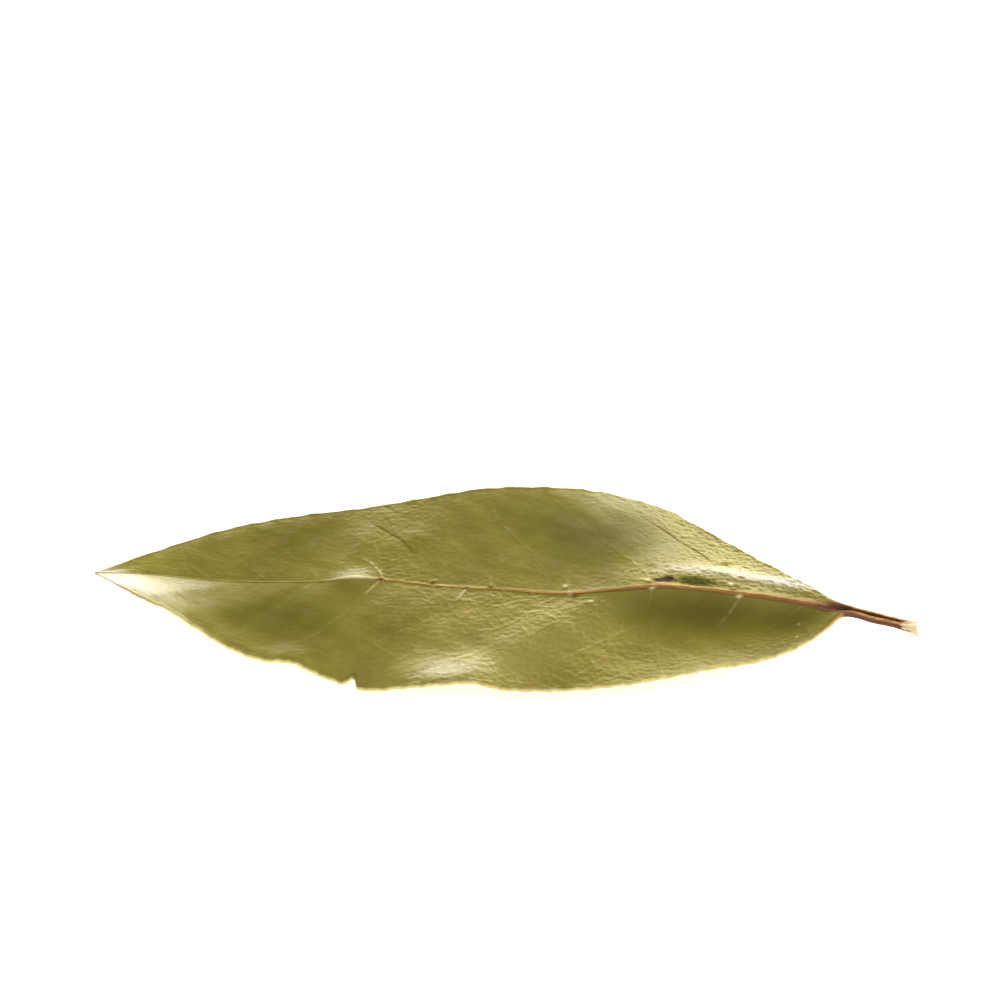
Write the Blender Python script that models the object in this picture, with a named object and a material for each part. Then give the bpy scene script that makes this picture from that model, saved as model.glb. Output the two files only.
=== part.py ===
"""A dried bay leaf with its stalk, lying on its underside.

+X runs from the tip to the cut end of the stalk, +Y to the back margin and +Z up. The origin is the
middle of the leaf's footprint, on the surface that the leaf lies on.
"""

import math

import bmesh
import bpy
import numpy as np

MM = 0.001  # every size below is in millimetres

LENGTH = 90.0
TIP = -LENGTH / 2
STALK_END = LENGTH / 2
BLADE_END = 36.6  # where the blade has narrowed to the stalk

BLADE_THICKNESS = 0.32
MARGIN_ROUNDING = 0.3  # how far in from the margin the blade reaches its full thickness
STALK_HEIGHT = 1.35
STALK_GROOVE = 0.75  # depth of the channel along the top of the stalk

ROWS = 100  # faces along the leaf
TOP_COLUMNS = 22  # faces across the upper side, and as many again across the underside
CROWDING = 0.5  # how much closer together the columns are at the midrib and the margins

# The leaf's three long lines, as points (x, y, z) on the blade's middle surface.
MIDRIB = (
    (-45.0, -3.3, 2.7),
    (-41.6, -2.3, 1.7),
    (-37.6, -1.8, 1.1),
    (-31.6, -1.8, 0.8),
    (-25.6, -2.0, 1.2),
    (-18.6, -2.0, 1.8),
    (-13.6, -1.9, 2.2),
    (-7.6, -2.5, 2.4),
    (-1.6, -3.0, 2.8),
    (7.4, -3.8, 3.4),
    (12.4, -3.5, 4.0),
    (16.4, -2.8, 4.3),
    (20.4, -2.75, 4.3),
    (26.4, -3.1, 4.1),
    (32.4, -3.55, 3.7),
    (36.6, -3.9, 3.3),
    (40.4, -3.7, 2.2),
    (45.0, -3.5, 0.7),
)
FRONT_MARGIN = (
    (-45.0, -3.4, 2.7),
    (-42.8, -4.6, 2.6),
    (-38.8, -7.2, 2.8),
    (-36.2, -8.4, 2.7),
    (-33.3, -9.9, 1.9),
    (-28.1, -12.6, 1.0),
    (-25.0, -13.7, 1.0),
    (-22.2, -13.9, 1.1),
    (-18.7, -15.2, 0.6),
    (-14.1, -16.6, 0.3),
    (-9.8, -17.1, 1.4),
    (-5.8, -17.9, 3.0),
    (-2.2, -17.4, 3.0),
    (0.7, -17.3, 2.2),
    (3.9, -16.9, 1.8),
    (13.2, -16.2, 2.6),
    (22.8, -13.5, 3.0),
    (28.6, -11.6, 2.9),
    (33.1, -8.8, 3.0),
    (35.2, -6.6, 3.0),
    (36.6, -4.9, 3.2),
    (40.4, -4.35, 2.2),
    (43.4, -4.1, 1.2),
    (45.0, -4.6, 0.6),
)
BACK_MARGIN = (
    (-45.0, -3.2, 2.7),
    (-42.4, -0.7, 2.0),
    (-38.3, 2.2, 1.6),
    (-31.7, 5.8, 1.6),
    (-23.6, 8.2, 2.0),
    (-14.0, 9.8, 2.8),
    (-9.7, 10.8, 3.2),
    (-3.7, 12.4, 3.5),
    (3.5, 13.2, 3.5),
    (9.4, 13.8, 2.7),
    (14.3, 13.5, 1.7),
    (17.1, 13.3, 0.9),
    (21.3, 10.8, 0.6),
    (25.9, 6.5, 1.5),
    (32.2, 0.5, 3.0),
    (36.6, -2.9, 3.3),
    (40.4, -3.1, 2.2),
    (43.4, -2.95, 1.2),
    (45.0, -2.75, 0.7),
)

# The height that each half of the blade heads for, as (x, height). Its margin departs from this in
# short waves.
FRONT_LEVEL = (
    (-45.0, 2.7),
    (-38.0, 2.8),
    (-28.0, 0.7),
    (-12.0, 0.5),
    (0.0, 1.4),
    (12.0, 2.5),
    (24.0, 3.0),
    (36.6, 3.2),
)
BACK_LEVEL = (
    (-45.0, 2.7),
    (-38.0, 1.6),
    (-5.0, 3.4),
    (4.0, 3.4),
    (14.0, 1.8),
    (20.0, 0.6),
    (25.0, 1.4),
    (36.6, 3.3),
)
WAVE_REACH = 2.8  # how far in from the margin those waves reach

# How far each half arches above a straight line from the midrib to that level, as (x, height).
FRONT_ARCH = (
    (-45.0, 0.0),
    (-25.0, 0.3),
    (-5.0, 0.5),
    (8.0, -0.1),
    (19.0, -1.2),
    (30.0, -0.7),
    (36.6, 0.0),
)
BACK_ARCH = (
    (-45.0, 0.0),
    (-25.0, 0.3),
    (-5.0, 0.1),
    (7.0, 0.3),
    (12.5, 0.55),
    (17.0, 0.0),
    (23.0, -0.5),
    (30.0, -0.2),
    (36.6, 0.0),
)

# The larger cockles that drying left: (x, y, length, width, turn in degrees, height).
COCKLES = (
    (24.5, 0.5, 5.5, 1.5, -11.0, 0.65),
    (31.0, -1.0, 3.5, 0.9, -14.0, 0.35),
    (4.5, -9.2, 9.0, 2.6, 32.0, 0.55),
    (14.0, -6.0, 3.0, 1.6, 40.0, -0.35),
    (-4.5, -14.2, 5.0, 1.6, 4.0, 0.34),
    (-16.5, -1.75, 2.6, 1.2, 6.0, 0.4),
)


def along(points, x, value=1):
    """One coordinate of a smooth line through the points, read at each x."""
    at = np.array([point[0] for point in points])
    height = np.array([point[value] for point in points])
    step = np.diff(at)
    slope = np.diff(height) / step
    turn = (slope[:-1] * step[1:] + slope[1:] * step[:-1]) / (step[1:] + step[:-1])
    turn = np.concatenate((slope[:1], turn, slope[-1:]))
    span = np.clip(np.searchsorted(at, x, side="right") - 1, 0, len(step) - 1)
    t = np.clip((x - at[span]) / step[span], 0.0, 1.0)
    start = height[span] + t * step[span] * turn[span] * (1 - t) ** 2
    rise = (height[span + 1] - height[span]) * t**2 * (3 - 2 * t)
    return start + rise - step[span] * turn[span + 1] * t**2 * (1 - t)


def fade(x, start, end):
    """0 before start, 1 after end, and a smooth step between them."""
    t = np.clip((x - start) / (end - start), 0.0, 1.0)
    return t * t * (3 - 2 * t)


def bell(distance, width):
    return np.exp(-((distance / width) ** 2))


def cockled(x, y):
    """How far the cockles lift each point."""
    total = np.zeros_like(x)
    for at_x, at_y, length, width, turn, height in COCKLES:
        c = math.cos(math.radians(turn))
        s = math.sin(math.radians(turn))
        ahead = (x - at_x) * c + (y - at_y) * s
        beside = (y - at_y) * c - (x - at_x) * s
        total += height * bell(ahead, length) * bell(beside, width)
    return total


def leaf_surface(x, across, side):
    """Points of the upper side (side 1) or the underside (side -1), with across from -1 to 1."""
    front = across < 0
    middle_y = along(MIDRIB, x)
    middle_z = along(MIDRIB, x, 2)
    margin_y = np.where(front, along(FRONT_MARGIN, x), along(BACK_MARGIN, x))
    margin_z = np.where(front, along(FRONT_MARGIN, x, 2), along(BACK_MARGIN, x, 2))
    level = np.where(front, along(FRONT_LEVEL, x), along(BACK_LEVEL, x))
    level = level + (margin_z - level) * fade(x, BLADE_END - 6, BLADE_END)
    arch = np.where(front, along(FRONT_ARCH, x), along(BACK_ARCH, x))
    stalk = fade(x, BLADE_END - 4, BLADE_END + 2)

    out = np.abs(across)
    half_width = np.abs(margin_y - middle_y)
    inward = half_width * (1 - out)
    y = middle_y + out * (margin_y - middle_y)
    z = middle_z + out * (level - middle_z) + arch * 4 * out * (1 - out)
    z = z + (margin_z - level) * bell(inward, WAVE_REACH) * fade(out, 0.0, 0.5)
    z = z + cockled(x, y) * (1 - stalk)

    rounding = np.minimum(MARGIN_ROUNDING + stalk * STALK_HEIGHT, half_width)
    rounded = np.sqrt(1 - (1 - np.clip(inward / rounding, 0.0, 1.0)) ** 2)  # 0 on the margin
    thickness = BLADE_THICKNESS + stalk * (STALK_HEIGHT - BLADE_THICKNESS)
    half_thickness = thickness / 2 * (0.5 + 0.5 * fade(x, TIP, TIP + 5))

    from_midrib = half_width * out
    grown = fade(x, TIP - 20, STALK_END)
    keel = (0.1 + 0.6 * grown) * bell(from_midrib, 0.3 + 0.5 * grown) * (1 - stalk)
    ridge = (0.03 + 0.09 * grown) * bell(from_midrib, 0.1 + 0.4 * grown) * (1 - stalk)
    end_fill = 1 - 0.8 * fade(x, STALK_END - 2, STALK_END - 0.4)
    groove = STALK_GROOVE * stalk * bell(out, 0.42) * end_fill
    z = z + np.where(side > 0, half_thickness + ridge - groove, -half_thickness - keel) * rounded
    return np.stack((x, y, z), axis=-1)


def rolled_leaf():
    """A sheet rolled into a flat tube, whose seam is the front margin, and closed at both ends."""
    bm = bmesh.new()
    bmesh.ops.create_grid(bm, x_segments=ROWS, y_segments=2 * TOP_COLUMNS, size=1.0)
    sheet = np.array([vert.co for vert in bm.verts])
    turn = sheet[:, 1]  # -1 to 0 crosses the upper side, 0 to 1 comes back along the underside
    x = TIP + LENGTH * (sheet[:, 0] + 1) / 2
    side = np.where(turn <= 0, 1, -1)
    across = np.where(turn <= 0, 1 + 2 * turn, 1 - 2 * turn)
    across = across - CROWDING * np.sin(2 * np.pi * across) / (2 * np.pi)
    placed = leaf_surface(x, across, side)
    low, high = placed.min(axis=0), placed.max(axis=0)
    placed -= ((low[0] + high[0]) / 2, (low[1] + high[1]) / 2, low[2])
    for vert, place in zip(bm.verts, placed):
        vert.co = place * MM
    bmesh.ops.remove_doubles(bm, verts=bm.verts, dist=1e-6)
    bmesh.ops.holes_fill(bm, edges=[edge for edge in bm.edges if edge.is_boundary])
    bmesh.ops.recalc_face_normals(bm, faces=bm.faces)
    if bm.calc_volume(signed=True) < 0:
        bmesh.ops.reverse_faces(bm, faces=bm.faces)
    return bm


def leaf_material():
    material = bpy.data.materials.new("dried_leaf")
    material.use_nodes = True
    shader = material.node_tree.nodes["Principled BSDF"]
    shader.inputs["Base Color"].default_value = (0.18, 0.17, 0.05, 1.0)
    shader.inputs["Roughness"].default_value = 0.5
    shader.inputs["Metallic"].default_value = 0.0
    return material


for leftover in list(bpy.data.objects):
    bpy.data.objects.remove(leftover)

collection = bpy.data.collections.new("dried_bay_leaf")
bpy.context.scene.collection.children.link(collection)

mesh = bpy.data.meshes.new("bay_leaf")
shaped = rolled_leaf()
shaped.to_mesh(mesh)
shaped.free()
mesh.shade_smooth()
mesh.materials.append(leaf_material())
collection.objects.link(bpy.data.objects.new("bay_leaf", mesh))
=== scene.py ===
import math

import bmesh
import bpy
import numpy as np
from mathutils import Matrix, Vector


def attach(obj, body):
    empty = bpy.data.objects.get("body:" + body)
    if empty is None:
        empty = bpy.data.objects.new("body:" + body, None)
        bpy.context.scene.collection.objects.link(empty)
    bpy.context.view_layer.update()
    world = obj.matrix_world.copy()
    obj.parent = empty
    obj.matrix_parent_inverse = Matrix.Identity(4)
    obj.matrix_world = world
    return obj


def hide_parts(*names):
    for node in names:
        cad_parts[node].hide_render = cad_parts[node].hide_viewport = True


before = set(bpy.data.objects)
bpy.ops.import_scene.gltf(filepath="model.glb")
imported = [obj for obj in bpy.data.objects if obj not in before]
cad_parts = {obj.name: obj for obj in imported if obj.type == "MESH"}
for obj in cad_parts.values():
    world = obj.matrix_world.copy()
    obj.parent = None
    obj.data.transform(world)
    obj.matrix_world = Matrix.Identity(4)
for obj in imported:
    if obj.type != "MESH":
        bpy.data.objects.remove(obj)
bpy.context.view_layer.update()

# ------------------------------------------------------------------ the blade
# A bay leaf's blade is a stiff sheet of leaf tissue under a thin wax, about a third of a millimetre
# thick. It dried flat in a heap, so it lies almost level, with wavy margins and a lifted tip.
# Lengths in this file are in millimetres until a mesh is filled, and MM turns them to metres.

MM = 0.001
LENGTH = 90.0
TIP = -LENGTH / 2
STALK_END = LENGTH / 2
BLADE_END = 36.6  # where the blade has narrowed to the stalk
BLADE_THICKNESS = 0.32
MARGIN_ROUNDING = 0.3  # how far in from the margin the blade reaches its full thickness

# The leaf's three long lines, as points (x, y, z) on the blade's middle surface.
MIDRIB = (
    (-45.0, -3.3, 2.7),
    (-41.6, -2.3, 1.7),
    (-37.6, -1.8, 1.1),
    (-31.6, -1.8, 0.8),
    (-25.6, -2.0, 1.2),
    (-18.6, -2.0, 1.8),
    (-13.6, -1.9, 2.2),
    (-7.6, -2.5, 2.4),
    (-1.6, -3.0, 2.8),
    (7.4, -3.8, 3.4),
    (12.4, -3.5, 4.0),
    (16.4, -2.8, 4.3),
    (20.4, -2.75, 4.3),
    (26.4, -3.1, 4.1),
    (32.4, -3.55, 3.7),
    (36.6, -3.9, 3.3),
    (40.4, -3.7, 2.2),
    (45.0, -3.5, 0.7),
)
FRONT_MARGIN = (
    (-45.0, -3.4, 2.7),
    (-42.8, -4.6, 2.6),
    (-38.8, -7.2, 2.8),
    (-36.2, -8.4, 2.7),
    (-33.3, -9.9, 1.9),
    (-28.1, -12.6, 1.0),
    (-25.0, -13.7, 1.0),
    (-22.2, -13.9, 1.1),
    (-18.7, -15.2, 0.6),
    (-14.1, -16.6, 0.3),
    (-9.8, -17.1, 1.4),
    (-5.8, -17.9, 3.0),
    (-2.2, -17.4, 3.0),
    (0.7, -17.3, 2.2),
    (3.9, -16.9, 1.8),
    (13.2, -16.2, 2.6),
    (22.8, -13.5, 3.0),
    (28.6, -11.6, 2.9),
    (33.1, -8.8, 3.0),
    (35.2, -6.6, 3.0),
    (36.6, -4.9, 3.2),
    (40.4, -4.35, 2.2),
    (43.4, -4.1, 1.2),
    (45.0, -4.6, 0.6),
)
BACK_MARGIN = (
    (-45.0, -3.2, 2.7),
    (-42.4, -0.7, 2.0),
    (-38.3, 2.2, 1.6),
    (-31.7, 5.8, 1.6),
    (-23.6, 8.2, 2.0),
    (-14.0, 9.8, 2.8),
    (-9.7, 10.8, 3.2),
    (-3.7, 12.4, 3.5),
    (3.5, 13.2, 3.5),
    (9.4, 13.8, 2.7),
    (14.3, 13.5, 1.7),
    (17.1, 13.3, 0.9),
    (21.3, 10.8, 0.6),
    (25.9, 6.5, 1.5),
    (32.2, 0.5, 3.0),
    (36.6, -2.9, 3.3),
    (40.4, -3.1, 2.2),
    (43.4, -2.95, 1.2),
    (45.0, -2.75, 0.7),
)

# The height that each half of the blade heads for, as (x, height). Its margin departs from this in
# short waves.
FRONT_LEVEL = (
    (-45.0, 2.7),
    (-38.0, 2.8),
    (-28.0, 0.7),
    (-12.0, 0.5),
    (0.0, 1.4),
    (12.0, 2.5),
    (24.0, 3.0),
    (36.6, 3.2),
)
BACK_LEVEL = (
    (-45.0, 2.7),
    (-38.0, 1.6),
    (-5.0, 3.4),
    (4.0, 3.4),
    (14.0, 1.8),
    (20.0, 0.6),
    (25.0, 1.4),
    (36.6, 3.3),
)
WAVE_REACH = 2.8  # how far in from the margin those waves reach

# How far each half arches above a straight line from the midrib to that level, as (x, height).
FRONT_ARCH = (
    (-45.0, 0.0),
    (-25.0, 0.3),
    (-5.0, 0.5),
    (8.0, -0.1),
    (19.0, -1.2),
    (30.0, -0.7),
    (36.6, 0.0),
)
BACK_ARCH = (
    (-45.0, 0.0),
    (-25.0, 0.3),
    (-5.0, 0.1),
    (7.0, 0.3),
    (12.5, 0.55),
    (17.0, 0.0),
    (23.0, -0.5),
    (30.0, -0.2),
    (36.6, 0.0),
)


def along(points, x, value=1):
    """One coordinate of a smooth line through the points, read at each x."""
    at = np.array([point[0] for point in points])
    height = np.array([point[value] for point in points])
    step = np.diff(at)
    slope = np.diff(height) / step
    turn = (slope[:-1] * step[1:] + slope[1:] * step[:-1]) / (step[1:] + step[:-1])
    turn = np.concatenate((slope[:1], turn, slope[-1:]))
    span = np.clip(np.searchsorted(at, x, side="right") - 1, 0, len(step) - 1)
    t = np.clip((x - at[span]) / step[span], 0.0, 1.0)
    start = height[span] + t * step[span] * turn[span] * (1 - t) ** 2
    rise = (height[span + 1] - height[span]) * t**2 * (3 - 2 * t)
    return start + rise - step[span] * turn[span + 1] * t**2 * (1 - t)


def fade(x, start, end):
    """0 before start, 1 after end, and a smooth step between them."""
    t = np.clip((x - start) / (end - start), 0.0, 1.0)
    return t * t * (3 - 2 * t)


def bell(distance, width):
    return np.exp(-((distance / width) ** 2))


# -------------------------------------------------------- cockles in the blade
# Drying pulled the blade out of flat: it bulges between its side veins, and near the stalk the back
# half stands up in a crest along the midrib. Each is (x, y, length, width, turn in degrees, height).

COCKLES = (
    (24.5, 0.5, 5.5, 1.5, -11.0, 0.65),
    (31.0, -1.0, 3.5, 0.9, -14.0, 0.35),
    (21.0, -1.9, 3.6, 0.7, -4.0, -0.2),
    (4.5, -9.2, 9.0, 2.6, 32.0, 0.55),
    (14.0, -6.0, 3.0, 1.6, 40.0, -0.35),
    (-4.5, -14.2, 5.0, 1.6, 4.0, 0.34),
    (-16.5, -1.75, 2.6, 1.2, 6.0, 0.4),
    (-15.5, 4.5, 1.2, 5.0, -25.0, 0.15),
    (-11.5, 4.0, 3.2, 1.8, 20.0, 0.2),
    (-20.0, 5.0, 2.6, 5.0, -25.0, -0.15),
    (23.8, 3.7, 1.1, 0.4, 20.0, 0.2),
    (24.0, 3.1, 1.1, 0.35, 20.0, -0.15),
    (31.6, 0.3, 0.7, 0.3, 5.0, 0.08),
    (31.7, -0.2, 0.7, 0.3, 5.0, -0.08),
)


def patches(x, y, places):
    """What soft round patches add up to at each point: heights of bumps, or amounts of a colour."""
    total = np.zeros_like(x)
    for at_x, at_y, length, width, turn, amount in places:
        c = math.cos(math.radians(turn))
        s = math.sin(math.radians(turn))
        ahead = (x - at_x) * c + (y - at_y) * s
        beside = (y - at_y) * c - (x - at_x) * s
        total += amount * bell(ahead, length) * bell(beside, width)
    return total


# ------------------------------------------------------------- the side veins
# Side veins leave the midrib in turn on either half and bow towards the tip, each reaching for the
# one ahead of it near the margin. Each starts as a pale woody strand, and its middle has either
# stayed a faint pale line or sunk to a crease that is painted dark as shade.
# A row gives the strand's tone, how far out it reaches, the tone of the middle (above 0 for pale and
# below for a crease with painted shade), and the points.

SIDE_VEINS = (
    (0.2, 3.0, 0.3, ((33.4, -3.8), (31.6, -1.6), (28.6, 1.4), (26.0, 3.6))),
    (
        0.3,
        1.5,
        -0.9,
        ((25.3, -3.0), (24.7, -0.4), (23.6, 1.9), (21.7, 4.8), (18.3, 7.6), (15.4, 9.7), (10.0, 13.6)),
    ),
    (
        0.6,
        9.0,
        0.1,
        ((16.0, -2.8), (15.6, -0.9), (13.8, 1.5), (12.1, 3.1), (10.2, 5.1), (6.5, 9.3), (2.0, 13.6)),
    ),
    (
        0.4,
        3.5,
        0.15,
        ((7.3, -3.8), (6.8, -1.7), (4.9, 0.4), (2.0, 3.4), (-0.8, 6.9), (-3.0, 10.3), (-6.4, 12.7)),
    ),
    (
        0.6,
        2.6,
        0.15,
        ((-1.3, -3.0), (-1.6, -1.5), (-2.7, 0.0), (-5.8, 3.4), (-8.1, 5.6), (-11.4, 8.4), (-15.4, 10.1)),
    ),
    (
        0.3,
        1.5,
        -0.7,
        ((-7.8, -2.5), (-9.5, 1.0), (-11.6, 3.6), (-13.2, 4.9), (-14.8, 6.1), (-19.0, 8.4)),
    ),
    (
        2.2,
        4.8,
        0.0,
        (
            (-13.4, -1.9),
            (-13.8, -0.8),
            (-14.3, -0.1),
            (-16.0, 1.3),
            (-18.6, 3.1),
            (-22.0, 5.2),
            (-25.5, 7.0),
        ),
    ),
    (0.3, 3.0, 0.1, ((-20.2, -1.8), (-21.7, -0.2), (-24.6, 2.2), (-29.0, 4.8))),
    (0.2, 3.0, 0.1, ((-26.4, -1.6), (-28.4, 0.0), (-31.4, 2.0), (-34.6, 3.2))),
    (0.2, 3.0, 0.1, ((-32.6, -1.5), (-34.4, -0.4), (-37.6, 0.8))),
    (0.2, 3.0, 0.1, ((32.6, -3.8), (31.0, -5.2), (27.6, -7.6), (22.6, -9.9))),
    (
        0.45,
        5.0,
        0.15,
        ((25.7, -3.5), (24.7, -5.1), (23.2, -7.0), (19.5, -9.5), (14.8, -11.7), (9.6, -13.4)),
    ),
    (
        0.2,
        3.0,
        0.7,
        ((16.2, -3.2), (15.8, -5.0), (14.7, -7.2), (11.6, -9.6), (8.6, -11.7), (3.4, -14.2)),
    ),
    (0.2, 3.0, 0.4, ((7.5, -3.9), (5.2, -6.8), (3.5, -8.6), (0.1, -10.9), (-4.2, -13.4), (-8.4, -14.8))),
    (
        1.6,
        2.6,
        0.25,
        (
            (-4.0, -3.0),
            (-4.6, -4.0),
            (-5.2, -5.2),
            (-7.4, -7.4),
            (-10.8, -9.4),
            (-15.0, -11.8),
            (-19.6, -13.6),
        ),
    ),
    (
        1.5,
        3.2,
        0.15,
        ((-13.7, -2.1), (-14.9, -3.8), (-15.9, -5.1), (-18.2, -8.0), (-22.4, -11.2), (-26.4, -12.3)),
    ),
    (0.3, 3.0, 0.1, ((-20.6, -1.8), (-22.6, -3.8), (-25.0, -6.4), (-29.6, -9.2))),
    (0.2, 3.0, 0.1, ((-27.4, -1.6), (-29.4, -3.4), (-32.0, -5.2), (-35.6, -6.6))),
    (0.2, 3.0, 0.1, ((-33.6, -1.5), (-35.6, -2.8), (-39.0, -4.4))),
)
VEIN_BENDS = 6  # straight stretches between two of a vein's points


def smooth_path(points):
    """A smooth curve through points in the plane, as many short stretches."""
    points = np.array(points)
    reach = np.concatenate(([0.0], np.cumsum(np.linalg.norm(np.diff(points, axis=0), axis=1))))
    fine = np.linspace(0.0, reach[-1], VEIN_BENDS * (len(points) - 1) + 1)
    sides = [along(list(zip(reach, points[:, side])), fine) for side in (0, 1)]
    return np.stack(sides, axis=1)


def nearest_vein(x, y):
    """For each point, the signed distance to the nearest side vein, and that vein's tone there."""
    offset = np.full(x.shape, 9.0)
    tone = np.zeros(x.shape)
    for tone_in, reach, tone_out, points in SIDE_VEINS:
        path = smooth_path(points)
        lengths = np.linalg.norm(np.diff(path, axis=0), axis=1)
        done = np.concatenate(([0.0], np.cumsum(lengths))) / lengths.sum()
        for start, end, length, before, after in zip(path, path[1:], lengths, done, done[1:]):
            ahead = (end - start) / length
            t = np.clip((x - start[0]) * ahead[0] + (y - start[1]) * ahead[1], 0.0, length)
            away_x = x - start[0] - t * ahead[0]
            away_y = y - start[1] - t * ahead[1]
            distance = np.hypot(away_x, away_y)
            nearer = distance < np.abs(offset)
            turned = np.where(ahead[0] * away_y - ahead[1] * away_x < 0, -1.0, 1.0)
            here = before + (after - before) * t / length
            offset = np.where(nearer, distance * turned, offset)
            first = tone_in * (1 - fade(here * lengths.sum(), 0.4 * reach, reach))
            later = tone_out * fade(here, 0.2, 0.4) * (1 - fade(here, 0.65, 0.85))
            tone = np.where(nearer, first + later, tone)
    return offset, tone


# ------------------------------------------------------- the leaf's own mesh
# The whole leaf is one closed skin: a sheet rolled into a flat tube whose seam is the front margin,
# with the rows close enough together to hold the veins, and finer by the midrib and the margins.

ROWS = 470
TOP_COLUMNS = 160
UNDER_COLUMNS = 48


def spread(across, crowding):
    """Columns crowded towards the midrib and the margins."""
    out = np.abs(across)
    return np.sign(across) * (out - crowding * np.sin(2 * np.pi * out) / (2 * np.pi))


bm = bmesh.new()
bmesh.ops.create_grid(bm, x_segments=ROWS, y_segments=TOP_COLUMNS + UNDER_COLUMNS, size=1.0)
leaf_mesh = bpy.data.meshes.new("bay_leaf_skin")
bm.to_mesh(leaf_mesh)
bm.free()

flat = np.empty(len(leaf_mesh.vertices) * 3, np.float32)
leaf_mesh.vertices.foreach_get("co", flat)
flat = flat.reshape(-1, 3).astype(float)
x = TIP + LENGTH * (flat[:, 0] + 1) / 2
turn = (flat[:, 1] + 1) / 2 * (TOP_COLUMNS + UNDER_COLUMNS)
upper = turn <= TOP_COLUMNS + 0.5
over = 2 * turn / TOP_COLUMNS - 1
under = 1 - 2 * (turn - TOP_COLUMNS) / UNDER_COLUMNS
across = np.clip(np.where(upper, spread(over, 0.35), spread(under, 0.6)), -1.0, 1.0)
front = across < 0
out = np.abs(across)

# The margins are never quite even, and the front one has a small tear.
TEAR_AT = -15.2
TEAR_DEPTH = 1.3
MARGIN_WANDER = 0.09  # how far a margin wanders in and out
MARGIN_RIPPLE = 0.07  # and up and down


def wander(x, start):
    """A small uneven line between about -1 and 1, with bends from 1 to 4 mm long."""
    bends = np.sin(1.7 * x + start) + np.sin(2.9 * x + 2 * start)
    return (bends + 0.6 * np.sin(6.1 * x + 3 * start)) / 2.6


tear = TEAR_DEPTH * fade(x, TEAR_AT - 1.4, TEAR_AT) * (1 - fade(x, TEAR_AT, TEAR_AT + 0.45))
blade_part = fade(x, TIP, TIP + 4) * (1 - fade(x, BLADE_END - 3, BLADE_END))
middle_y = along(MIDRIB, x)
margin_y = np.where(front, along(FRONT_MARGIN, x), along(BACK_MARGIN, x))
margin_z = np.where(front, along(FRONT_MARGIN, x, 2), along(BACK_MARGIN, x, 2))
level = np.where(front, along(FRONT_LEVEL, x), along(BACK_LEVEL, x))
level = level + (margin_z - level) * fade(x, BLADE_END - 6, BLADE_END)
arch = np.where(front, along(FRONT_ARCH, x), along(BACK_ARCH, x))
half_width = np.abs(margin_y - middle_y)
from_midrib = half_width * out
uneven = MARGIN_WANDER * wander(x, np.where(front, 0.4, 2.3)) * blade_part
inward = half_width * (1 - out)
y = middle_y + out * (margin_y - middle_y) + (uneven + np.where(front, tear, 0.0)) * fade(out, 0.86, 1.0)
z = along(MIDRIB, x, 2)
z = z + out * (level - z) + arch * 4 * out * (1 - out)
z = z + (margin_z - level) * bell(inward, WAVE_REACH) * fade(out, 0.0, 0.5)
z = z + MARGIN_RIPPLE * wander(x, np.where(front, 4.1, 1.2)) * blade_part * bell(inward, 0.9)


def crumple(x, y):
    """Shallow uneven swells from 3 to 8 mm across, between about -1 and 1."""
    wide = np.sin(0.83 * x + 1.1 * np.sin(0.61 * y + 0.4)) * np.sin(0.97 * y + 1.3 * np.sin(0.47 * x + 2.0))
    fine = np.sin(1.7 * x + 0.9 * y + 1.2 * np.sin(1.1 * y)) * np.sin(1.9 * y - 0.7 * x + 1.7)
    return wide + 0.35 * fine


# The side veins, as strands that stand up or creases that sink, and the tissue that domes up between
# them.
STRAND_HEIGHT = 0.035  # of the palest strand
CREASE_DEPTH = 0.06  # of the darkest crease
stalk = fade(x, BLADE_END - 4, BLADE_END + 2)
blade = (1 - stalk) * fade(x, TIP, TIP + 3)
vein_offset, vein_tone = nearest_vein(x, y)
vein_near = np.abs(vein_offset)
strand = (0.008 + STRAND_HEIGHT * np.clip(vein_tone, 0.0, 1.0)) * bell(vein_near, 0.26) * blade
crease = CREASE_DEPTH * np.clip(-vein_tone, 0.0, 1.0) * bell(vein_near, 0.22) * blade
z += patches(x, y, COCKLES) * (1 - stalk)
swell = np.where(front, 0.03 + 0.03 * fade(x, -20.0, 5.0), 0.03)
z += swell * crumple(x, y) * blade * fade(inward, 0.0, 2.0) * fade(from_midrib, 0.0, 2.5)
z += np.where(front, 0.05, 0.03) * fade(vein_near, 0.0, 2.2) * blade * fade(inward, 0.3, 2.0)

# ---------------------------------------------------- the midrib and the stalk
# The midrib is one woody cord from stalk to tip: a fine ridge on top, a stouter keel underneath. It
# swells where a side vein leaves it. The stalk is a channel between two lips, dried to tan wood.

STALK_HEIGHT = 1.35
STALK_GROOVE = 0.75  # depth of the channel along the top of the stalk
CUT_RAGGEDNESS = 0.18  # how uneven the stalk's cut end is

# The swellings where side veins leave the midrib, in rows like those of COCKLES.
AXILS = (
    (-16.4, -1.9, 2.0, 0.3, 0.0, 0.12),
    (-13.4, -1.9, 0.45, 0.35, 0.0, 0.07),
    (-7.8, -2.0, 0.4, 0.2, 20.0, 0.09),
    (-4.0, -3.0, 0.4, 0.3, 0.0, 0.08),
    (-1.4, -2.7, 0.35, 0.22, -20.0, 0.09),
    (6.7, -2.7, 0.26, 0.22, 0.0, 0.14),
    (7.6, -4.0, 0.6, 0.3, 0.0, 0.1),
    (9.6, -5.3, 0.34, 0.2, 30.0, 0.12),
    (15.5, -1.9, 0.5, 0.3, -15.0, 0.12),
    (16.2, -3.2, 0.5, 0.22, 10.0, 0.08),
    (24.7, -1.5, 0.35, 0.3, 0.0, 0.12),
    (25.6, -3.6, 0.5, 0.22, 5.0, 0.08),
)

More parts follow.
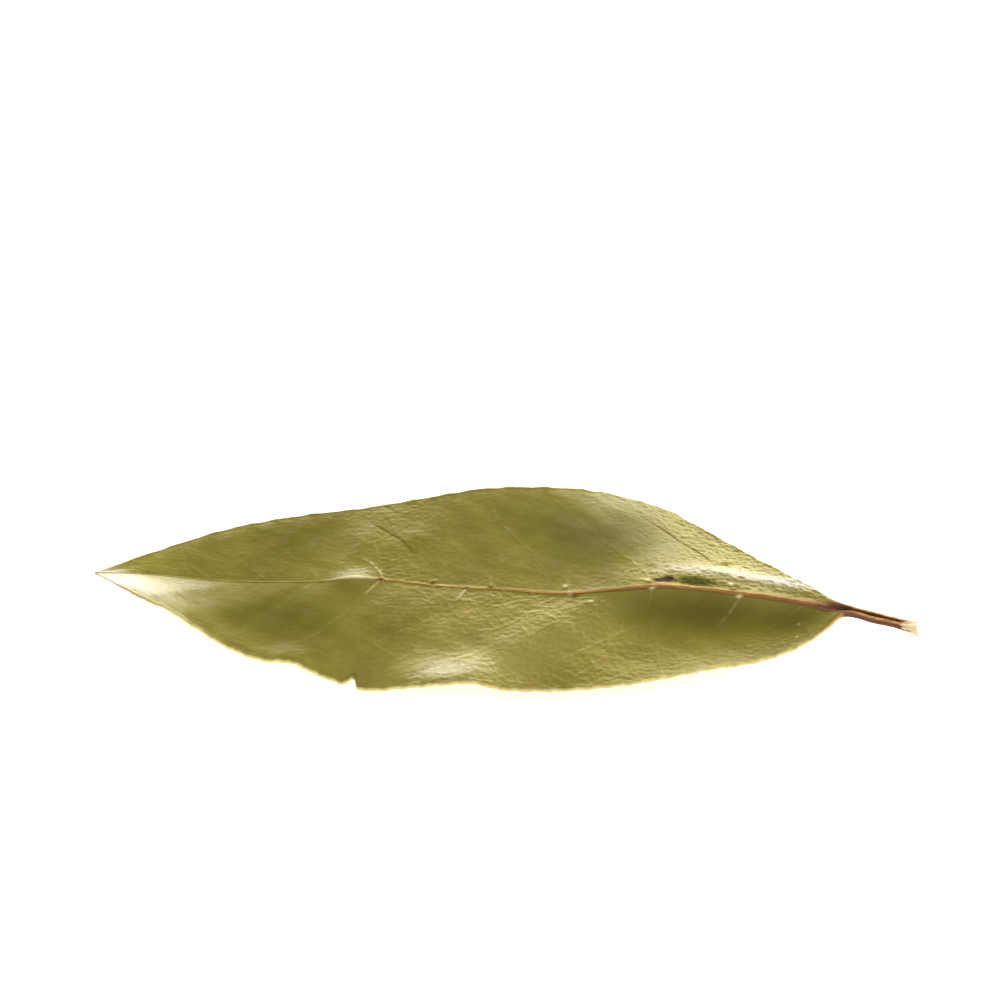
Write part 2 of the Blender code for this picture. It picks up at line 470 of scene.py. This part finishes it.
grown = fade(x, TIP - 20, STALK_END)
midrib_width = 0.08 + 0.42 * fade(x, -30.0, STALK_END) + 0.12 * bell(x + 16.4, 2.2)
midrib_width += 0.3 * fade(x, 31.0, BLADE_END)
keel_width = 0.3 + 0.5 * grown
keel = (0.1 + 0.6 * grown) * bell(from_midrib, keel_width) * (1 - stalk)
ridge = (0.03 + 0.09 * grown) * bell(from_midrib, midrib_width) * (1 - stalk)
groove = STALK_GROOVE * stalk * bell(out, 0.42) * (1 - 0.8 * fade(x, STALK_END - 2, STALK_END - 0.4))
bead = 0.035 * bell(inward - 0.22, 0.18) * (1 - stalk)
thickness = BLADE_THICKNESS + stalk * (STALK_HEIGHT - BLADE_THICKNESS)
half_thickness = thickness / 2 * (0.5 + 0.5 * fade(x, TIP, TIP + 5))
rounding = np.minimum(MARGIN_ROUNDING + stalk * STALK_HEIGHT, half_width)
rounded = np.sqrt(1 - (1 - np.clip(inward / rounding, 0.0, 1.0)) ** 2)
rise = half_thickness + np.maximum(ridge, strand) + bead + patches(x, y, AXILS) - crease - groove
fall = half_thickness + np.maximum(keel, 2 * strand) + crease
z = z + np.where(upper, rise, -fall) * rounded

# The stalk was cut roughly, so its end is ragged. around runs from -1 to 1 over the upper side and on
# to -2 and 2 beneath it.
around = np.where(upper, out, 2 - out) * np.where(front, -1.0, 1.0)
ragged = 0.6 * np.sin(7.3 * around + 2.6) + 0.4 * np.sin(17.0 * around)
x = x + CUT_RAGGEDNESS * (0.6 + ragged) * fade(x, STALK_END - 1.6, STALK_END)

placed = np.stack((x, y, z), axis=1)
low, high = placed.min(axis=0), placed.max(axis=0)
placed -= (0.0, (low[1] + high[1]) / 2, low[2])
leaf_mesh.vertices.foreach_set("co", (placed * MM).astype(np.float32).ravel())


def keep(name, values):
    """Stores a number for every point of the mesh, for the relief and the finish to read."""
    kept = leaf_mesh.attributes.new(name, "FLOAT", "POINT")
    kept.data.foreach_set("value", np.asarray(values, np.float32))


# ---------------------------------------------------- marks, painted light and painted shade
# Drying bruised the tissue beside the crest and left woody knots and corky dots where side veins
# leave the midrib, and handling scuffed the wax. Painted shade darkens the folds and soft patches of
# the blade, and painted light pales other patches, the tip, the crest and the hump of the midrib.
# The rows are those of COCKLES, with an amount of colour as the last number.

# Purple bruises behind the midrib, and a mauve stain where the blade runs into the stalk.
BRUISES = (
    (16.9, -1.65, 0.8, 0.4, 10.0, 1.5),
    (18.0, -1.2, 0.6, 0.7, 10.0, 1.5),
    (24.9, -2.4, 0.6, 0.25, -8.0, 1.0),
    (35.0, -3.8, 1.8, 0.45, -2.0, 0.6),
    (37.2, -3.8, 1.3, 0.6, 0.0, 0.7),
    (31.7, -0.2, 0.45, 0.1, 5.0, 0.6),
    (TEAR_AT, -15.0, 0.3, 0.4, 0.0, 0.6),
    (-39.5, -1.6, 0.25, 0.2, 0.0, 0.7),
    (9.3, -5.5, 0.3, 0.15, 0.0, 0.7),
)
# Painted shade: deep green in the folds in front of the crest, and in a crease in the back half.
FOLD_SHADES = (
    (20.8, -1.3, 2.4, 1.0, -4.0, 1.3),
    (25.5, -2.0, 2.6, 0.5, -12.0, 0.5),
    (30.0, -2.5, 3.0, 0.4, -10.0, 0.4),
    (24.0, 3.15, 0.8, 0.1, 20.0, 0.6),
)
# Pale corky dots, and the pale strip of the midrib towards the tip, partly a painted highlight.
CORKS_AND_SHEEN = (
    (-16.4, -1.9, 2.0, 0.22, 0.0, 1.2),
    (7.3, -4.0, 0.45, 0.24, 0.0, 0.5),
    (6.7, -2.7, 0.26, 0.2, 0.0, 1.2),
    (9.6, -5.2, 0.36, 0.2, 30.0, 1.1),
    (15.5, -1.9, 0.5, 0.24, -15.0, 1.0),
    (16.2, -3.1, 0.42, 0.14, 10.0, 1.1),
    (24.7, -1.3, 0.3, 0.45, 0.0, 0.9),
    (25.6, -3.45, 0.42, 0.17, 5.0, 1.1),
    (-6.4, -2.5, 1.3, 0.1, -4.0, 0.7),
    (32.1, -6.2, 0.22, 0.18, 0.0, 0.5),
    (31.9, -7.9, 0.2, 0.2, 0.0, 0.55),
)
# Brown woody knots on the midrib.
KNOTS = (
    (-13.6, -1.9, 0.5, 0.3, 0.0, 0.9),
    (-7.8, -2.15, 0.3, 0.28, 0.0, 1.0),
    (-4.1, -2.95, 0.4, 0.24, 20.0, 1.0),
    (-1.4, -2.75, 0.34, 0.26, 0.0, 1.0),
    (7.9, -4.15, 0.4, 0.26, 0.0, 1.1),
    (15.8, -2.35, 0.45, 0.26, 0.0, 1.0),
    (24.9, -2.6, 0.4, 0.26, 0.0, 1.0),
    (25.5, -1.7, 0.5, 0.45, 0.0, 0.6),
)
# Wax scuffed grey, with painted sheen: at the tip, along the crest, and on a bulge by the front margin.
SCUFFS_AND_SHEEN = (
    (-43.0, -3.4, 3.4, 1.4, -4.0, 1.5),
    (-39.5, -4.9, 4.2, 1.6, -14.0, 0.9),
    (-36.0, -3.4, 6.0, 1.1, 2.0, 0.3),
    (20.0, 0.9, 2.8, 0.8, -2.0, 1.0),
    (25.0, 1.2, 4.5, 1.8, -12.0, 1.0),
    (30.4, -0.2, 3.6, 1.1, -14.0, 1.4),
    (17.0, 0.0, 1.5, 0.5, 12.0, 0.6),
    (-16.8, -1.2, 2.4, 0.8, 6.0, 0.6),
    (-4.5, -15.0, 4.5, 1.6, 4.0, 0.5),
)
# Painted light: pale patches where bulges of the blade catch the light, and on the back of the crest.
PAINTED_LIGHTS = (
    (8.5, -7.2, 5.0, 3.0, 30.0, 0.25),
    (-3.0, -13.5, 8.0, 3.0, 10.0, 0.5),
    (27.0, 2.0, 7.0, 4.0, -30.0, 0.75),
)
# Painted shade: dark olive patches on the blade, where the wax's shine is also turned down.
PAINTED_SHADES = (
    (2.0, 6.5, 12.0, 6.5, -6.0, 0.6),
    (-24.0, 4.0, 9.0, 4.5, 10.0, 0.5),
    (-25.0, -7.0, 10.0, 4.5, 0.0, 0.75),
    (22.5, -5.4, 9.0, 2.8, 2.0, 0.85),
    (8.5, 4.5, 9.0, 3.6, -55.0, 0.4),
    (14.0, 7.0, 4.0, 5.0, 0.0, 0.55),
    (32.0, -5.5, 4.0, 1.6, 20.0, 0.5),
)

# How strongly the fine net stands up: most by the stalk and on the crest, least towards the tip.
front_net = 0.2 + 0.55 * fade(x, -24.0, 2.0) + 0.3 * bell(x - 10.0, 7.0)
back_net = 0.3 + 1.2 * fade(x, 7.0, 21.0) + 0.5 * bell(x + 12.5, 4.0)
# Masks of painted shade, and of scuffed wax with painted sheen.
painted_shade = patches(x, y, PAINTED_SHADES)
scuff_and_sheen = patches(x, y, SCUFFS_AND_SHEEN)
net_strength = np.where(front, front_net, back_net) * (1 - stalk) * (1 - 0.7 * np.clip(painted_shade, 0.0, 1.0))
net_strength += 0.6 * scuff_and_sheen * fade(x, 5.0, 15.0)

keep("vein_offset", vein_offset)
keep("pale_vein", np.clip(vein_tone, 0.0, 2.0) * blade)
keep("crease_shade", np.clip(-vein_tone, 0.0, 1.0) * blade)
keep("midrib_offset", from_midrib / midrib_width * np.where(front, -1.0, 1.0))
keep("inward", inward)
keep("rimmed", 0.4 + 0.6 * fade(x, -42.0, -33.0))
keep("stalk", fade(x, BLADE_END - 0.8, BLADE_END + 2.0))
keep("lip", np.where(upper, out, 1.0) * np.where(front, -1.0, 1.0))
keep("underside", 1 - upper)
keep("bruise", patches(x, y, BRUISES) * upper)
keep("fold_shade", patches(x, y, FOLD_SHADES) * upper)
keep("cork_and_sheen", patches(x, y, CORKS_AND_SHEEN) * upper)
keep("scuff_and_sheen", np.where(x < -30.0, scuff_and_sheen, scuff_and_sheen * upper))
keep("knot", patches(x, y, KNOTS) * upper)
keep("painted_shade", painted_shade * upper)
keep("painted_light", patches(x, y, PAINTED_LIGHTS) * upper)
keep("net_strength", net_strength)
keep("outward", net_strength * rounded * np.where(upper, 1.0, -1.0))

bm = bmesh.new()
bm.from_mesh(leaf_mesh)
bmesh.ops.remove_doubles(bm, verts=bm.verts, dist=1e-8)

# Three rings, each smaller than the last and sunk by a depth in mm, close the stalk's cut end.
for reach, depth in ((0.8, 0.0), (0.6, 0.12), (0.7, 0.06)):
    rim_edges = [edge for edge in bm.edges if edge.is_boundary and edge.verts[0].co.x > 0]
    grown_ends = bmesh.ops.extrude_edge_only(bm, edges=rim_edges)["geom"]
    end_points = [item for item in grown_ends if isinstance(item, bmesh.types.BMVert)]
    middle = sum((point.co for point in end_points), Vector()) / len(end_points)
    for point in end_points:
        point.co = middle + (point.co - middle) * reach - Vector((depth * MM, 0.0, 0.0))
bmesh.ops.holes_fill(bm, edges=[edge for edge in bm.edges if edge.is_boundary])
bmesh.ops.recalc_face_normals(bm, faces=bm.faces)
if bm.calc_volume(signed=True) < 0:
    bmesh.ops.reverse_faces(bm, faces=bm.faces)
bm.to_mesh(leaf_mesh)
bm.free()
leaf_mesh.shade_smooth()
leaf = bpy.data.objects.new("dried_leaf", leaf_mesh)
bpy.context.scene.collection.objects.link(leaf)

# ----------------------------------------------------------- the net of veins
# Between the side veins runs a net of finer and finer ones, raised on both faces as the tissue in its
# meshes dried and sank. The same nodes draw it twice: as relief in the mesh and as fine lines in the
# finish, so that the two agree.

NET_MESH = 0.72  # mm across one of the finest meshes of the net
CROSS_MESH = 3.4  # mm across a mesh of the cross veins
RELIEF = 0.028  # mm that the net stands up where it is strongest


def colour(code):
    """A linear colour from an sRGB hex code."""
    parts = [int(code[i : i + 2], 16) / 255 for i in (1, 3, 5)]
    linear = [c / 12.92 if c <= 0.04045 else ((c + 0.055) / 1.055) ** 2.4 for c in parts]
    return (*linear, 1.0)


def add(tree, kind, inputs, **settings):
    """Adds a node, with its settings, and sets or links each input."""
    node = tree.nodes.new(kind)
    for name, value in settings.items():
        setattr(node, name, value)
    for socket, value in inputs.items():
        if isinstance(value, bpy.types.NodeSocket):
            tree.links.new(value, node.inputs[socket])
        else:
            node.inputs[socket].default_value = value
    return node


def reckon(tree, operation, *values, **settings):
    """The result of one sum on sockets or numbers."""
    return add(tree, "ShaderNodeMath", dict(enumerate(values)), operation=operation, **settings).outputs[0]


def rescale(tree, value, low, high, start=0.0, end=1.0, **settings):
    """A value moved from the range low to high to the range start to end, and held inside it."""
    inputs = {"Value": value, "From Min": low, "From Max": high, "To Min": start, "To Max": end}
    return add(tree, "ShaderNodeMapRange", inputs, **settings).outputs[0]


def vein_net(tree, place):
    """The finest net and the cross veins, each from 0 to 1, and the wrinkles between them, to 2."""
    flat = add(tree, "ShaderNodeVectorMath", {0: place, 1: (1000, 1000, 0)}, operation="MULTIPLY")

    # The lines wander by up to 0.9 mm, in bends of about 1.2 mm, so that no two meshes are alike.
    cloud = add(tree, "ShaderNodeTexNoise", {"Vector": flat.outputs[0], "Scale": 0.8, "Detail": 2.0})
    bend = add(
        tree,
        "ShaderNodeVectorMath",
        {0: cloud.outputs["Color"], 1: (0.9, 0.9, 0.0), 2: flat.outputs[0]},
        operation="MULTIPLY_ADD",
    )
    lines = []
    for width, vein in ((NET_MESH, 0.42), (CROSS_MESH, 0.08)):
        cell = add(
            tree,
            "ShaderNodeTexVoronoi",
            {"Vector": bend.outputs[0], "Scale": 1 / width},
            voronoi_dimensions="2D",
            feature="DISTANCE_TO_EDGE",
        )
        distance = cell.outputs["Distance"]
        lines.append(rescale(tree, distance, 0.0, vein, 1.0, 0.0, interpolation_type="SMOOTHSTEP"))

    # Wrinkles about 0.8 mm long and 0.4 mm wide, along the leaf.
    streak = add(tree, "ShaderNodeVectorMath", {0: flat.outputs[0], 1: (1.2, 2.3, 0)}, operation="MULTIPLY")
    wrinkle = add(tree, "ShaderNodeTexNoise", {"Vector": streak.outputs[0], "Scale": 1.0, "Detail": 1.5})
    return lines[0], lines[1], rescale(tree, wrinkle.outputs["Fac"], 0.3, 0.7, 0.0, 2.0)


relief = bpy.data.node_groups.new("vein_relief", "GeometryNodeTree")
relief.interface.new_socket("Geometry", in_out="INPUT", socket_type="NodeSocketGeometry")
relief.interface.new_socket("Geometry", in_out="OUTPUT", socket_type="NodeSocketGeometry")
smooth = add(relief, "NodeGroupInput", {})
place = add(relief, "GeometryNodeInputPosition", {})
net, cross, wrinkle = vein_net(relief, place.outputs[0])
outward = add(relief, "GeometryNodeInputNamedAttribute", {"Name": "outward"}, data_type="FLOAT")
height = reckon(relief, "ADD", net, wrinkle)
height = reckon(relief, "ADD", height, cross)
height = reckon(relief, "MULTIPLY", height, outward.outputs[0])
height = reckon(relief, "MULTIPLY", height, RELIEF * MM)
lift = add(relief, "ShaderNodeCombineXYZ", {"Z": height})
moved = add(relief, "GeometryNodeSetPosition", {"Geometry": smooth.outputs[0], "Offset": lift.outputs[0]})
add(relief, "NodeGroupOutput", {0: moved.outputs[0]})
modifier = leaf.modifiers.new("vein_relief", "NODES")
modifier.node_group = relief
bpy.context.view_layer.update()
whole = leaf.evaluated_get(bpy.context.evaluated_depsgraph_get())
leaf.data = bpy.data.meshes.new_from_object(whole)
leaf.modifiers.clear()
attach(leaf, "root")
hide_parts("bay_leaf")

# ------------------------------------------------------------ the leaf's finish
# Dried leaf tissue: olive green from what is left of its colour, under a satin wax. The veins dried
# straw yellow, the midrib tan, and the underside has no wax, so it is paler and dull.

finish = bpy.data.materials.new("dried_leaf_wax")
finish.use_nodes = True
tree = finish.node_tree
tree.nodes.clear()
coords = add(tree, "ShaderNodeTexCoord", {}).outputs["Object"]
net, cross, wrinkle = vein_net(tree, coords)

# Each stored number of the mesh that the finish reads.
stored = {}
for name in (
    "vein_offset",
    "pale_vein",
    "crease_shade",
    "midrib_offset",
    "inward",
    "rimmed",
    "stalk",
    "lip",
    "underside",
    "bruise",
    "fold_shade",
    "cork_and_sheen",
    "scuff_and_sheen",
    "knot",
    "painted_shade",
    "painted_light",
    "net_strength",
):
    stored[name] = add(tree, "ShaderNodeAttribute", {}, attribute_name=name).outputs["Fac"]

# The leaf's own place in millimetres, for every pattern below, and how far along the leaf that is.
millimetres = add(tree, "ShaderNodeVectorMath", {0: coords, 1: (1000, 1000, 1000)}, operation="MULTIPLY")
millimetres = millimetres.outputs[0]
lengthwise = add(tree, "ShaderNodeSeparateXYZ", {"Vector": millimetres}).outputs[0]


def noise(tree, place, scale, detail, roughness=0.5):
    """Soft noise with about scale lumps to a unit of place."""
    inputs = {"Vector": place, "Scale": scale, "Detail": detail, "Roughness": roughness}
    return add(tree, "ShaderNodeTexNoise", inputs).outputs["Fac"]


def ramp(tree, share, stops):
    """A colour that runs through the stops, each a place from 0 to 1 and an sRGB hex code."""
    node = add(tree, "ShaderNodeValToRGB", {"Fac": share})
    elements = node.color_ramp.elements
    for place, code in stops[1:-1]:
        elements.new(place).color = colour(code)
    for end in (0, -1):
        elements[end].position = stops[end][0]
        elements[end].color = colour(stops[end][1])
    return node.outputs[0]


def mix(tree, amount, base, coat):
    """The colour coat over the colour base, as far as the amount says."""
    return add(tree, "ShaderNodeMix", {0: amount, 6: base, 7: coat}, data_type="RGBA").outputs[2]


# Blotches about 8 mm across, from green to straw, with tan flecks of 2 or 3 mm where the tissue dried
# browner. The grit, of about 0.6 mm, is what makes the edges between colours uneven.
blotch = noise(tree, millimetres, 0.12, 6.0, 0.6)
ground = ramp(tree, blotch, ((0.32, "#857826"), (0.68, "#a09338")))
fleck = noise(tree, millimetres, 0.4, 3.0)
tanned = rescale(tree, fleck, 0.56, 0.75, 0.0, 0.5)
grit = noise(tree, millimetres, 1.6, 3.0)

# How much of each line shows at a point. The side veins and the rim are measured in millimetres from
# the line, and the midrib in its own widths.
vein_away = reckon(tree, "ABSOLUTE", stored["vein_offset"])
vein_line = rescale(tree, vein_away, 0.02, 0.22, 1.0, 0.0, interpolation_type="SMOOTHSTEP")
midrib_away = reckon(tree, "ABSOLUTE", stored["midrib_offset"])
midrib_line = rescale(tree, midrib_away, 0.7, 1.15, 1.0, 0.0, interpolation_type="SMOOTHSTEP")
rim_edge = reckon(tree, "MULTIPLY_ADD", grit, 0.25, stored["inward"])
rim = rescale(tree, rim_edge, 0.2, 0.46, 1.0, 0.0, interpolation_type="SMOOTHSTEP")
off_stalk = reckon(tree, "SUBTRACT", 1.0, stored["stalk"])
rimmed = reckon(tree, "MULTIPLY", rim, off_stalk)
rimmed = reckon(tree, "MULTIPLY", rimmed, stored["rimmed"])
net_shown = reckon(tree, "MULTIPLY", net, stored["net_strength"])
net_shown = reckon(tree, "MULTIPLY", net_shown, 0.12)
cross_shown = reckon(tree, "MULTIPLY", cross, stored["net_strength"])
cross_shown = reckon(tree, "MULTIPLY", cross_shown, 0.25)
pale_shown = reckon(tree, "MULTIPLY", vein_line, stored["pale_vein"])
broken = rescale(tree, grit, 0.3, 0.65)
pale_shown = reckon(tree, "MULTIPLY", pale_shown, broken)
pale_shown = reckon(tree, "MULTIPLY", pale_shown, 0.75, use_clamp=True)
# Painted shade in the creases of the dark side veins.
crease_shade_shown = reckon(tree, "MULTIPLY", vein_line, stored["crease_shade"])
crease_shade_shown = reckon(tree, "MULTIPLY", crease_shade_shown, 0.85)

# The scuffed wax and painted sheen are cream at the tip and greyer elsewhere. The rim is straw yellow,
# and amber where it runs into the stalk, both with a painted glow of light through it.
tip_sheen = rescale(tree, lengthwise, -25.0, -38.0)
scuff_and_sheen_coat = mix(tree, tip_sheen, colour("#dacdb8"), colour("#dfcfb2"))
amber = rescale(tree, lengthwise, 33.5, 37.0)
# Painted glow of light through the rim, over its own straw colour.
rim_and_glow_coat = mix(tree, amber, colour("#e3d698"), colour("#cf9a44"))

# The midrib's colour runs from straw at the tip to tan and then reddish brown at the stalk, as
# (x, colour), with a painted highlight over its pale hump near the tip, and its front flank is darker
# with painted shade.
MIDRIB_COLOURS = (
    (-45.0, "#a89a54"),
    (-19.5, "#a89b4c"),
    (-18.0, "#e2d294"),
    (-14.0, "#dcc684"),
    (-12.0, "#bd9c50"),
    (-7.8, "#b8964c"),
    (-3.0, "#c8a85c"),
    (-1.0, "#9c7c3c"),
    (7.0, "#a47a3c"),
    (12.0, "#9a723a"),
    (20.0, "#d4a462"),
    (28.0, "#bd8a50"),
    (33.0, "#b07c56"),
    (37.0, "#7f5c4c"),
)
share = rescale(tree, lengthwise, TIP, STALK_END)
wood = ramp(tree, share, [((place_x - TIP) / LENGTH, code) for place_x, code in MIDRIB_COLOURS])
# Painted shade on the midrib's front flank.
shaded_flank = rescale(tree, stored["midrib_offset"], -0.95, -0.15, 0.9, 0.0)
wood = mix(tree, shaded_flank, wood, colour("#6e4f20"))

# The stalk runs from a dark flank in front, which is painted shade, over its two lips with the brown
# channel between them, to a straw coloured back edge. The top of the front lip carries a painted
# highlight, the channel is deepened with painted shade, and the pale back edge is a painted glow of
# light through it. The rows are (lip, colour) with lip from -1 to 1.
STALK_COLOURS = (
    (-1.0, "#74503f"),
    (-0.95, "#8c5e48"),
    (-0.9, "#b98a62"),
    (-0.75, "#d8ac78"),
    (-0.6, "#cf9a62"),
    (-0.45, "#a87042"),
    (-0.3, "#5e3418"),
    (-0.1, "#42230e"),
    (0.2, "#4e2610"),
    (0.36, "#8a4c22"),
    (0.46, "#dca868"),
    (0.58, "#f4dfb0"),
    (1.0, "#f4dfb0"),
)
lip_share = rescale(tree, stored["lip"], -1.0, 1.0)
# Painted highlight, glow and shade across the stalk's lips, flank and channel.
bark_light_and_shade = ramp(tree, lip_share, [((place_y + 1) / 2, code) for place_y, code in STALK_COLOURS])

# Brown fibres about 0.2 mm wide and 2.5 mm long streak both, and the bare wood of the cut end is pale.
fibre = add(tree, "ShaderNodeVectorMath", {0: millimetres, 1: (0.4, 4.5, 4.5)}, operation="MULTIPLY")
fibre = noise(tree, fibre.outputs[0], 1.0, 2.0)
cut_edge = reckon(tree, "MULTIPLY_ADD", fibre, 3.0, lengthwise)
cut = rescale(tree, cut_edge, 45.1, 45.5)
fibre = rescale(tree, fibre, 0.4, 0.65, 0.0, 0.5)
wood = mix(tree, fibre, wood, colour("#735424"))
bark_light_and_shade = mix(tree, fibre, bark_light_and_shade, colour("#4e3220"))

# The marks have uneven edges, and the larger its number the softer a mark's edge is.
spots = {}
for name, soft in (("bruise", 0.9), ("fold_shade", 0.8), ("cork_and_sheen", 0.8), ("scuff_and_sheen", 1.4), ("knot", 0.5)):
    edge = reckon(tree, "MULTIPLY_ADD", grit, 0.8, stored[name])
    spots[name] = rescale(tree, edge, 0.6, 0.6 + soft)

# Colours laid one over another, each as far as its amount says. Painted light and shade are among
# them: the pale patches, sheen, glows and highlights, and the dark patches, folds and creases.
COATS = (
    (tanned, colour("#ad9656")),
    (stored["painted_light"], colour("#bdae66")),
    (net_shown, colour("#ada044")),
    (cross_shown, colour("#a39740")),
    (stored["painted_shade"], colour("#625b20")),
    (spots["scuff_and_sheen"], scuff_and_sheen_coat),
    (spots["fold_shade"], colour("#4e4c16")),
    (stored["underside"], colour("#9c9462")),
    (crease_shade_shown, colour("#5c4408")),
    (pale_shown, colour("#cfbf7c")),
    (rimmed, rim_and_glow_coat),
    (midrib_line, wood),
    (spots["knot"], colour("#7d6228")),
    (stored["stalk"], bark_light_and_shade),
    (spots["bruise"], colour("#48301f")),
    (spots["cork_and_sheen"], colour("#ead9a2")),
    (cut, colour("#f6deb4")),
)
paint = ground
for amount, coat in COATS:
    paint = mix(tree, amount, paint, coat)

# Wood, the underside and the marks have no wax. The wax's shine is turned down under painted shade,
# and the net of veins breaks up its shine.
dull = reckon(tree, "MAXIMUM", stored["stalk"], stored["underside"])
for unwaxed in (midrib_line, crease_shade_shown, spots["bruise"], spots["fold_shade"], spots["cork_and_sheen"], spots["knot"]):
    dull = reckon(tree, "MAXIMUM", dull, unwaxed)
rough = rescale(tree, dull, 0.0, 1.0, 0.33, 0.6)
rough = reckon(tree, "MULTIPLY_ADD", grit, 0.12, rough)
rough = reckon(tree, "MULTIPLY_ADD", stored["net_strength"], 0.13, rough)
worn = reckon(tree, "MAXIMUM", dull, stored["painted_shade"])
shine = rescale(tree, worn, 0.0, 0.6, 0.25, 0.05)

# A little light passes through the thin rim and the dry wood.
lit_through = reckon(tree, "MULTIPLY", stored["stalk"], 0.35)
lit_through = reckon(tree, "MAXIMUM", rimmed, lit_through)
skin = add(
    tree,
    "ShaderNodeBsdfPrincipled",
    {
        "Base Color": paint,
        "Roughness": rough,
        "Specular IOR Level": shine,
        "Subsurface Weight": lit_through,
        "Subsurface Radius": (1.0, 0.85, 0.5),
        "Subsurface Scale": 0.0005,
    },
)

# The same lines once more as a slight bump, finer than the mesh can hold.
BUMP = 0.014  # mm
raised = reckon(tree, "ADD", net, wrinkle)
raised = reckon(tree, "ADD", raised, cross)
raised = reckon(tree, "MULTIPLY", raised, stored["net_strength"])
raised = reckon(tree, "ADD", raised, pale_shown)
bump = add(tree, "ShaderNodeBump", {"Height": raised, "Strength": 1.0, "Distance": BUMP * MM})
tree.links.new(bump.outputs[0], skin.inputs["Normal"])
add(tree, "ShaderNodeOutputMaterial", {"Surface": skin.outputs[0]})
leaf.data.materials.clear()
leaf.data.materials.append(finish)

# ------------------------------------------------------ the table and the light
# A white sheet lit a little from beneath, under a long soft panel low behind the leaf and a weaker
# one overhead.

table_mesh = bpy.data.meshes.new("table")
bm = bmesh.new()
bmesh.ops.create_grid(bm, x_segments=1, y_segments=1, size=3.0)
bm.to_mesh(table_mesh)
bm.free()
table = bpy.data.objects.new("table", table_mesh)
bpy.context.scene.collection.objects.link(table)
sheet = bpy.data.materials.new("white_sheet")
sheet.use_nodes = True
white = sheet.node_tree.nodes["Principled BSDF"]
white.inputs["Base Color"].default_value = (0.9, 0.9, 0.9, 1.0)
white.inputs["Roughness"].default_value = 0.8
white.inputs["Emission Color"].default_value = (1.0, 1.0, 1.0, 1.0)
white.inputs["Emission Strength"].default_value = 0.7
table_mesh.materials.append(sheet)


def panel(name, place, aim, width, height, power):
    """A soft rectangular light at place, facing aim, in metres and watts."""
    light = bpy.data.lights.new(name, "AREA")
    light.shape = "RECTANGLE"
    light.size = width
    light.size_y = height
    light.energy = power
    lamp = bpy.data.objects.new(name, light)
    lamp.location = place
    away = np.array(place) - np.array(aim)
    across = math.hypot(away[0], away[1])
    lamp.rotation_euler = (math.atan2(across, away[2]), 0.0, math.atan2(away[0], -away[1]))
    bpy.context.scene.collection.objects.link(lamp)


panel("back_panel", (0.25, 0.9, 0.2), (0.0, 0.0, 0.0), 2.4, 0.3, 31.0)
panel("top_panel", (0.0, -0.3, 1.15), (0.0, 0.0, 0.0), 1.2, 0.8, 8.0)
world = bpy.data.worlds.new("studio")
world.use_nodes = True
world.node_tree.nodes["Background"].inputs["Color"].default_value = (1.0, 1.0, 1.0, 1.0)
world.node_tree.nodes["Background"].inputs["Strength"].default_value = 0.25
bpy.context.scene.world = world
bpy.context.scene.view_settings.view_transform = "Standard"

# ------------------------------------------------------------------ the camera
# A long lens looks down on the leaf from the front, with the stalk to the right. It stands a third of a
# metre away, in metres and radians here.

DISTANCE = 0.318
HEIGHT_ANGLE = math.radians(43)
SIDE_ANGLE = math.radians(4)
AIM = (-0.0016, 0.0165, 0.0)
lens = bpy.data.cameras.new("camera")
lens.lens = 100.0
lens.sensor_width = 36.0
camera = bpy.data.objects.new("camera", lens)
camera.location = (
    AIM[0] + DISTANCE * math.sin(SIDE_ANGLE) * math.cos(HEIGHT_ANGLE),
    AIM[1] - DISTANCE * math.cos(SIDE_ANGLE) * math.cos(HEIGHT_ANGLE),
    AIM[2] + DISTANCE * math.sin(HEIGHT_ANGLE),
)
camera.rotation_euler = (math.pi / 2 - HEIGHT_ANGLE, 0.0, SIDE_ANGLE)
bpy.context.scene.collection.objects.link(camera)
bpy.context.scene.camera = camera
